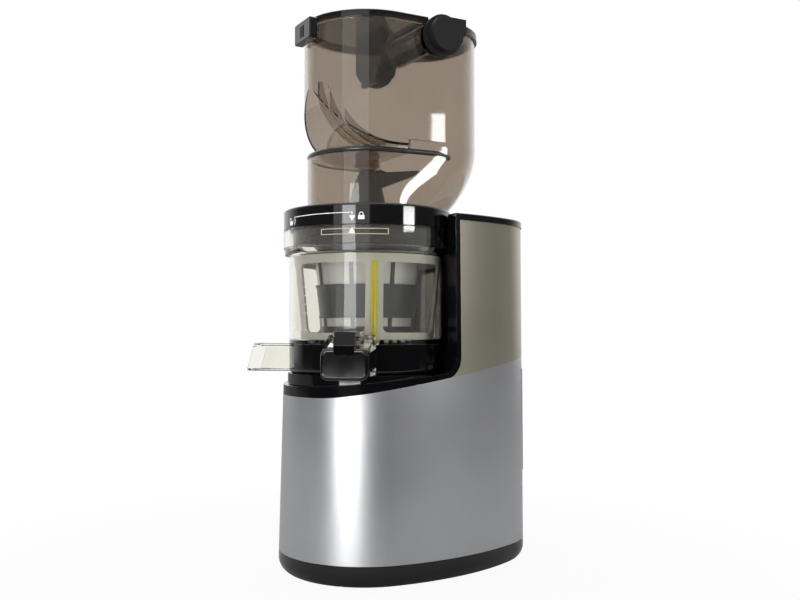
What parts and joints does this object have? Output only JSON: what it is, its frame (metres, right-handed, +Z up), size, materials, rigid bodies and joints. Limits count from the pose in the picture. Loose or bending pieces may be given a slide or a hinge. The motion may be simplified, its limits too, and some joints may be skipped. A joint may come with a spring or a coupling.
{
  "type": "cold press juicer",
  "caption": "Upright slow juicer: motor base with tower, clear juicing bowl with auger, strainer and wiper cage, capped juice spout, pulp spout, smoke hopper with hinged cover.",
  "frame": {"origin": "on the floor under the rubber feet, on the vertical axis of the juicing drum", "axes": "+Z up along the drum axis, +X from the drum towards the tower, so the latch of the hopper faces -X"},
  "size_m": [0.2381, 0.1689, 0.461],
  "materials": {
    "satin_silver": "satin silver lacquer",
    "champagne": "satin champagne lacquer",
    "black_gloss": "gloss",
    "black_matt": "fine grain",
    "clear": "clear, faintly warm",
    "smoke": "smoke brown, clear",
    "dark_smoke": "dark smoke, clear",
    "ivory": "satin",
    "yellow_silicone": "satin",
    "steel": "brushed",
    "mesh_steel": "etched fine mesh",
    "dark_frame": "satin",
    "black_rubber": "matt",
    "grey_silicone": "matt",
    "auger_grey": "satin",
    "gear_plastic": "moulded",
    "can_steel": "zinc plated",
    "copper": "enamelled windings",
    "board_green": "solder mask",
    "brass_bush": "turned"
  },
  "bodies": {
    "base": {"bottom_cover": "black_gloss", "rubber_feet": "black_rubber", "bottom_screws": "steel", "body_shell": "satin_silver", "drum_seat": "black_gloss", "tower_panel": "champagne", "tower_cap": "black_gloss", "rear_vent": "black_matt", "switch_bezel": "black_matt", "cord_gland": "black_rubber", "motor_mount": "black_rubber", "motor_can": "can_steel", "motor_stator": "copper", "gearbox_plate": "can_steel", "gearbox_housing": "black_matt", "shaft_bearing": "steel", "drive_seal": "black_rubber", "control_board": "board_green"},
    "drive": {"output_gear": "gear_plastic", "drive_shaft": "steel"},
    "lay": {"lay_gear": "gear_plastic"},
    "rotor": {"rotor_core": "copper", "rotor_shaft": "steel", "rotor_fan": "gear_plastic"},
    "rocker": {"switch_rocker": "black_gloss"},
    "bowl": {"juicing_bowl": "clear", "bowl_base": "black_gloss", "hub_seal": "grey_silicone", "strainer_mesh": "mesh_steel", "strainer_frame": "dark_frame", "cap_pin": "steel"},
    "auger": {"auger": "auger_grey"},
    "idler": {"idler_gear": "gear_plastic"},
    "cage": {"wiper_cage": "ivory", "silicone_wipers": "yellow_silicone"},
    "cap": {"juice_cap": "black_gloss", "cap_seal": "grey_silicone"},
    "lid": {"lid_ring": "black_gloss", "lid_seal": "grey_silicone", "hopper_body": "smoke", "top_bush": "brass_bush", "hinge_hubs": "black_matt", "rear_cover": "dark_smoke"},
    "cover": {"top_cover": "dark_smoke", "cover_blade": "dark_smoke", "latch_box": "black_gloss"},
    "latch": {"latch_button": "black_matt"}
  },
  "joints": [
    {"name": "drive_spin", "type": "hinge", "parent": "base", "child": "drive", "pos_m": [0, 0, 0.12], "axis": [0, 0, 1], "continuous": true},
    {"name": "lay_spin", "type": "hinge", "parent": "base", "child": "lay", "pos_m": [0.0455, 0, 0.11], "axis": [0, 0, 1], "continuous": true},
    {"name": "rotor_spin", "type": "hinge", "parent": "base", "child": "rotor", "pos_m": [0.083, 0, 0.06], "axis": [0, 0, 1], "continuous": true},
    {"name": "rocker_tilt", "type": "hinge", "parent": "base", "child": "rocker", "pos_m": [0.14421, 0, 0.218], "axis": [0, 1, 0], "range_deg": [-10, 10]},
    {"name": "bowl_lift", "type": "slide", "parent": "base", "child": "bowl", "axis": [0, 0, 1], "range_m": [0, 0.06]},
    {"name": "auger_spin", "type": "hinge", "parent": "bowl", "child": "auger", "pos_m": [0, 0, 0.25], "axis": [0, 0, 1], "continuous": true},
    {"name": "idler_spin", "type": "hinge", "parent": "bowl", "child": "idler", "pos_m": [0.02176, -0.02029, 0.194], "axis": [0, 0, 1], "continuous": true},
    {"name": "cage_spin", "type": "hinge", "parent": "bowl", "child": "cage", "pos_m": [0, 0, 0.22], "axis": [0, 0, 1], "continuous": true},
    {"name": "juice_cap_hinge", "type": "hinge", "parent": "bowl", "child": "cap", "pos_m": [-0.04627, -0.0603, 0.197], "axis": [-0.7934, 0.6088, 0], "range_deg": [0, 95]},
    {"name": "lid_turn", "type": "hinge", "parent": "bowl", "child": "lid", "pos_m": [0, 0, 0.29], "axis": [0, 0, 1], "range_deg": [0, 50]},
    {"name": "cover_hinge", "type": "hinge", "parent": "lid", "child": "cover", "pos_m": [0.039, 0, 0.444], "axis": [0, 1, 0], "range_deg": [0, 95]},
    {"name": "latch_slide", "type": "slide", "parent": "cover", "child": "latch", "axis": [1, 0, 0], "range_m": [0, 0.0025], "stiffness_N_per_m": 400}
  ],
  "couplings": [
    {"joint": "lay_spin", "follows": "drive_spin", "ratio": -3.3333},
    {"joint": "rotor_spin", "follows": "drive_spin", "ratio": 13.333},
    {"joint": "auger_spin", "follows": "drive_spin", "ratio": 1},
    {"joint": "idler_spin", "follows": "drive_spin", "ratio": -0.7},
    {"joint": "cage_spin", "follows": "drive_spin", "ratio": -0.25926}
  ]
}
